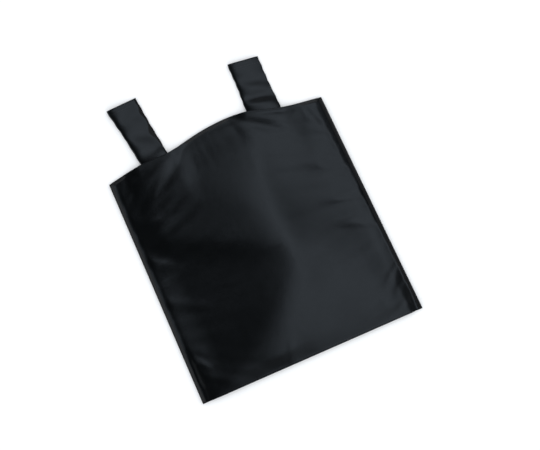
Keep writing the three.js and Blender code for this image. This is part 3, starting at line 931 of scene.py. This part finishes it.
def sleeve_tube(side, inset=0.0, start=None, stop=1.0):
    """Points round and along a sleeve, from inside the bag to its open end, inset from its surface."""
    near_left, near_right, far_left, far_right = (np.array(c) for c in SLEEVES[side])
    length = np.linalg.norm((far_left + far_right - near_left - near_right) / 2)
    start = -TUCK / length if start is None else start
    rows = round((stop - start) * length / SLEEVE_STEP) + 1
    share = np.linspace(start, stop, rows)[:, None]
    angle = np.linspace(0, 2 * math.pi, RING, endpoint=False)[None, :]
    left = near_left + (far_left - near_left) * share
    right = near_right + (far_right - near_right) * share
    middle, half = (left + right) / 2, (right - left) / 2
    half_width = np.linalg.norm(half, axis=1, keepdims=True)
    across = half / half_width
    # A soft flat tube: full at the seam and the cuff, and thinner between them.
    body = np.clip(share, 0, 1)
    at_seam = SEAM_FULLNESS * (1 - smoothstep(body, 0.0, 0.3))
    at_cuff = CUFF_FULLNESS * smoothstep(body, 0.7, 1.0)
    fullness = SLEEVE_TOP / 2 * (BODY_FULLNESS + at_seam + at_cuff)
    waist = 1 - WAIST * np.sin(math.pi * body) ** 2
    c, s = np.cos(angle), np.sin(angle)
    side_way = -np.sign(c) * np.abs(c) ** 0.8 * (half_width * waist - inset)
    rise = np.sign(s) * np.abs(s) ** 0.75 * (fullness - inset)
    crossing = side_way / half_width
    dip = np.zeros_like(rise)
    for at, depth, width, slant in CREASES[side]:
        line = at + slant * crossing
        beside = 1.6 * width
        swell = hump(share, line + beside, width) + hump(share, line - beside, width)
        dip += depth * MM * (0.55 * swell - hump(share, line, width))
    upper = np.clip(s, 0, 1) ** 0.5
    z = fullness + rise + dip * upper * (1 - 0.5 * crossing**2)
    z = z - SLEEVE_TILT[side] * crossing * upper * smoothstep(share, -0.04, 0.22)
    ripple = EDGE_RIPPLE * np.sin(share * 31 + np.sign(crossing) * 1.3)
    edge = 1 + ripple * smoothstep(np.abs(crossing), 0.7, 1)
    x = middle[:, :1] + across[:, :1] * side_way * edge
    y = middle[:, 1:] + across[:, 1:] * side_way * edge
    return np.stack([x, y, np.maximum(z, inset + FLOOR_GAP)], -1), length


def across_fold(piece, side):
    """Bakes a piece's placement into its mesh; the direction along the fold is worked out but not used.
    """
    joint = next(j for j in frame["joints"] if j["child"] == f"{side}_sleeve")
    near_left, _, far_left, _ = (Vector((*c, 0)) for c in SLEEVES[side])
    along = Vector(joint["axis"]).cross(Vector((0, 0, 1))) * -1
    if along.dot(far_left - near_left) < 0:
        along = -along
    along.normalize()
    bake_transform(piece)


CUFF = 18 * MM  # depth of the cuff, whose layers are the shell, the elastic and the folded hem
BAND_GAP = 0.5 * MM  # between the elastic and the lining's end
LINING_INSET = 0.9 * MM
BAND_INSET = 1.0 * MM
BAND_THICKNESS = 0.9 * MM
HEM_INSET = 2.1 * MM
CUFF_STITCH_ROWS = (3 * MM, 16 * MM)  # in from the open end


def make_sleeve(side, mats):
    outer, length = sleeve_tube(side)
    shell = cloth(f"{side}_sleeve", outer, SLEEVE_THICKNESS, mats["nylon"], wrap=True)
    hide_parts(f"{side}_sleeve_shell")
    cuff = 1 - CUFF / length
    inner, _ = sleeve_tube(side, inset=LINING_INSET, stop=cuff)
    lining = cloth(
        f"{side}_sleeve_inside", inner, LINING_THICKNESS, mats["cotton"], wrap=True
    )
    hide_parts(f"{side}_sleeve_lining")
    band, _ = sleeve_tube(
        side, inset=BAND_INSET, start=cuff + BAND_GAP / length, stop=1 - 1 * MM / length
    )
    elastic = cloth(
        f"{side}_cuff_band", band, BAND_THICKNESS, mats["elastic"], wrap=True
    )
    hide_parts(f"{side}_cuff_elastic")
    fold, _ = sleeve_tube(side, inset=HEM_INSET, start=cuff, stop=1.0)
    hem = cloth(f"{side}_cuff_fold", fold, SLEEVE_THICKNESS, mats["nylon"], wrap=True)
    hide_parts(f"{side}_cuff_hem")
    for piece in (shell, lining):
        across_fold(piece, side)
    for piece in (elastic, hem):
        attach(piece, f"{side}_sleeve")

    rows = []
    for back in CUFF_STITCH_ROWS:
        at = 1 - back / length
        ring, _ = sleeve_tube(side, inset=-0.15 * MM, start=at - 0.01, stop=at)
        loop = ring[-1]
        loop[:, 2] = np.maximum(loop[:, 2], STITCH_FLOOR)
        rows.append(np.concatenate([loop, loop[:1]]))
    centre = rows[0].mean(0)
    row = sleeve_stitches(f"{side}_cuff_stitches", rows, centre, mats["thread"])
    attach(row, f"{side}_sleeve")
    return shell, lining, [elastic, hem, row, make_facing(side, mats)]


def sleeve_stitches(name, rows, centre, mat):
    """Rows of stitches round a cuff; only the upper and lower faces carry them."""
    halves = []
    for loop in rows:
        above = loop[:, 2] >= centre[2]
        for keep in (above, ~above):
            picked = loop[keep]
            halves.append(picked[np.argsort(picked[:, 0])])
    return stitches(name, halves, mat)


FACING_SPAN = (-0.13, -0.06)  # where the armhole's tape lies, in shares of the sleeve's length
FACING_INSET = 1.6 * MM


def make_facing(side, mats):
    """The tape that binds the armhole inside the bag, as high as its CAD node."""
    name = f"{side}_armhole_facing"
    low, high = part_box(name)
    ring, _ = sleeve_tube(side, inset=FACING_INSET, start=FACING_SPAN[0], stop=FACING_SPAN[1])
    z = ring[:, :, 2]
    scale = (high.z - low.z) / np.ptp(z)
    ring[:, :, 2] = (low.z + high.z) / 2 + (z - (z.max() + z.min()) / 2) * scale
    facing = cloth(
        f"{side}_armhole_tape", ring, SLEEVE_THICKNESS, mats["webbing"], wrap=True
    )
    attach(facing, "bag")
    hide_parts(name)
    return facing


# ---------------------------------------------------------------- zips and mouth
COIL_PITCH = 1.5 * MM
COIL_RADIUS = 0.36 * MM
COIL_REACH = 0.45 * MM  # how far each loop reaches past the zip's middle
COIL_SIDE_GAP = 0.15 * MM
COIL_CORNER = 0.5 * MM


def make_coil(zip_name, side, mats):
    """One half of a zip: a row of bent loops that reach between those of the other half."""
    low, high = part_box(f"{zip_name}_zip_coil_{side}")
    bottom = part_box(f"{zip_name}_zip_coil_back")[0].z
    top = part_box(f"{zip_name}_zip_coil_front")[1].z
    front = 1 if side == "front" else -1
    foot = (high.z if side == "front" else low.z) - front * COIL_CORNER
    tip = (bottom + top) / 2 - front * COIL_REACH
    shoulder = tip + front * COIL_CORNER
    y = (low.y + high.y) / 2
    deep = (high.y - low.y) / 2 - COIL_SIDE_GAP
    bend = [(-deep, foot), (-deep, shoulder), (0, tip), (deep, shoulder), (deep, foot)]
    shift = 0.0 if side == "front" else COIL_PITCH / 2
    sides = 4
    ring = [(math.cos(a), math.sin(a)) for a in np.arange(sides) * 2 * math.pi / sides]
    points, faces = [], []
    x = low.x + COIL_PITCH / 2 + shift
    while x < high.x - COIL_PITCH / 2:
        first = len(points)
        for k, (dy, z) in enumerate(bend):
            before, after = bend[max(k - 1, 0)], bend[min(k + 1, len(bend) - 1)]
            dy_way, dz_way = after[0] - before[0], after[1] - before[1]
            scale = COIL_RADIUS / math.hypot(dy_way, dz_way)
            points += [
                (x + a * COIL_RADIUS, y + dy + dz_way * b * scale, z - dy_way * b * scale)
                for a, b in ring
            ]
        end = len(points) - sides
        for start in range(first, end, sides):
            for k in range(sides):
                a, b = start + k, start + (k + 1) % sides
                faces.append((a, b, b + sides, a + sides))
        faces.append(tuple(range(first + sides - 1, first - 1, -1)))
        faces.append(tuple(range(end, end + sides)))
        x += COIL_PITCH
    coil = new_object(f"{zip_name}_zip_teeth_{side}", points, faces, mats["coil"])
    fix_normals(coil)
    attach(coil, "bag")
    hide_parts(f"{zip_name}_zip_coil_{side}")
    return coil


def fix_normals(obj):
    work = bmesh.new()
    work.from_mesh(obj.data)
    bmesh.ops.recalc_face_normals(work, faces=work.faces)
    work.to_mesh(obj.data)
    work.free()


STRIP_CUT_PITCH = 5 * MM
STRIP_ROUNDING = 0.25 * MM
STRIP_RIPPLE = 0.25 * MM
STRIP_RIPPLE_LENGTH = 0.02
FLAT_ANGLE = math.radians(1)
SHARP_ANGLE = math.radians(30)


def softened(node, name, mat):
    """A cloth piece over a CAD strip: its section with rounded edges, and faint ripples along it."""
    work = bmesh.new()
    work.from_mesh(frame["nodes"][node].data)
    bmesh.ops.dissolve_limit(work, angle_limit=FLAT_ANGLE, verts=work.verts, edges=work.edges)
    shared = [e for e in work.edges if len(e.link_faces) == 2]
    sharp = [e for e in shared if e.calc_face_angle() > SHARP_ANGLE]
    bmesh.ops.bevel(
        work, geom=sharp, offset=STRIP_ROUNDING, segments=2, profile=0.6, affect="EDGES"
    )
    low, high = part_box(node)
    long_axis = 0 if high.x - low.x > high.y - low.y else 1
    direction = Vector((1, 0, 0)) if long_axis == 0 else Vector((0, 1, 0))
    at = low[long_axis] + STRIP_CUT_PITCH
    while at < high[long_axis] - STRIP_CUT_PITCH / 2:
        geometry = work.verts[:] + work.edges[:] + work.faces[:]
        bmesh.ops.bisect_plane(work, geom=geometry, plane_co=direction * at, plane_no=direction)
        at += STRIP_CUT_PITCH
    bmesh.ops.triangulate(work, faces=[f for f in work.faces if len(f.verts) > 4])
    for v in work.verts:
        v.co.z += STRIP_RIPPLE * noise.noise(v.co / STRIP_RIPPLE_LENGTH)
    mesh = bpy.data.meshes.new(name)
    work.to_mesh(mesh)
    work.free()
    mesh.materials.clear()
    mesh.materials.append(mat)
    mesh.shade_smooth()
    obj = bpy.data.objects.new(name, mesh)
    bpy.context.scene.collection.objects.link(obj)
    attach(obj, "bag")
    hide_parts(node)
    return obj


def paint(node, mat):
    mesh = frame["nodes"][node].data
    mesh.materials.clear()
    mesh.materials.append(mat)


def round_edges(node, width):
    """Rounds a hard CAD piece's edges."""
    modifier = frame["nodes"][node].modifiers.new("bevel", "BEVEL")
    modifier.width = width
    modifier.segments = 3
    modifier.limit_method = "ANGLE"
    modifier.angle_limit = math.radians(35)


SOFT_STRIPS = [
    # CAD node, piece, material, slot
    ("mouth_back_hem", "back_hem", "nylon_object", "nylon"),
    ("mouth_front_hem", "front_hem", "nylon_object", "nylon"),
    ("mouth_corner_tab_left", "corner_fold_left", "nylon_object", "nylon"),
    ("mouth_corner_tab_right", "corner_fold_right", "nylon_object", "nylon"),
    ("outer_zip_tape_back", "outer_tape_back", "zip_tape", "zip_tape"),
    ("outer_zip_tape_front", "outer_tape_front", "zip_tape", "zip_tape"),
    ("inner_zip_tape_back", "inner_tape_back", "zip_tape", "zip_tape"),
    ("inner_zip_tape_front", "inner_tape_front", "zip_tape", "zip_tape"),
    ("care_label", "blank_label", "label", "label"),
]


def dress_strips(mats):
    return {piece: softened(node, piece, mats[mat]) for node, piece, mat, slot in SOFT_STRIPS}


METAL_ROUNDING = 0.22 * MM


def dress_zip_metal(mats):
    for zip_name in ("outer_zip", "inner_zip"):
        for part in ("slider", "pull_tab", "top_stop_back", "top_stop_front", "bottom_stop"):
            paint(f"{zip_name}_{part}", mats["metal"])
            round_edges(f"{zip_name}_{part}", METAL_ROUNDING)


HEM_STITCH_INSET = 1.5 * MM


def make_mouth_stitches(panel, mats):
    """The row that holds the front hem, seen along the lip from above."""
    low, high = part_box("mouth_front_hem")
    path = [(x, high.y - HEM_STITCH_INSET) for x in np.arange(low.x, high.x, 4 * MM)]
    row = stitches("mouth_stitches", [laid_on(panel, path)], mats["thread"])
    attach(row, "bag")
    return row


# ---------------------------------------------------------------- build
make_camera()
make_studio()
materials = {
    "nylon": nylon(),
    "nylon_object": nylon("black_nylon_trim", "Object"),
    "cotton": cotton(),
    "webbing": webbing(),
    "zip_tape": zip_tape_cloth(),
    "elastic": elastic_cloth(),
    "label": label_cloth(),
    "thread": thread(),
    "coil": plastic_coil(),
    "metal": painted_zip_metal(),
}
panels = make_panels(materials)
tapes = make_bindings(materials)
seams = make_binding_stitches(tapes, materials)
lip = make_mouth_stitches(panels["front"], materials)
sleeves = {side: make_sleeve(side, materials) for side in SLEEVES}
coils = {
    name: [make_coil(name, side, materials) for side in ("back", "front")]
    for name in ("outer", "inner")
}
strips = dress_strips(materials)
dress_zip_metal(materials)
strips_on = {
    "front": ("front_hem", "outer_tape_front"),
    "back": ("back_hem", "outer_tape_back", "corner_fold_left", "corner_fold_right"),
    "lining_front": ("inner_tape_front",),
    "lining_back": ("inner_tape_back", "blank_label"),
}
trims = {panel: [strips[name] for name in names] for panel, names in strips_on.items()}
trims["front"] = [*tapes, *seams, lip, *trims["front"]]
trims["back"] += coils["outer"]
trims["lining_back"] += coils["inner"]
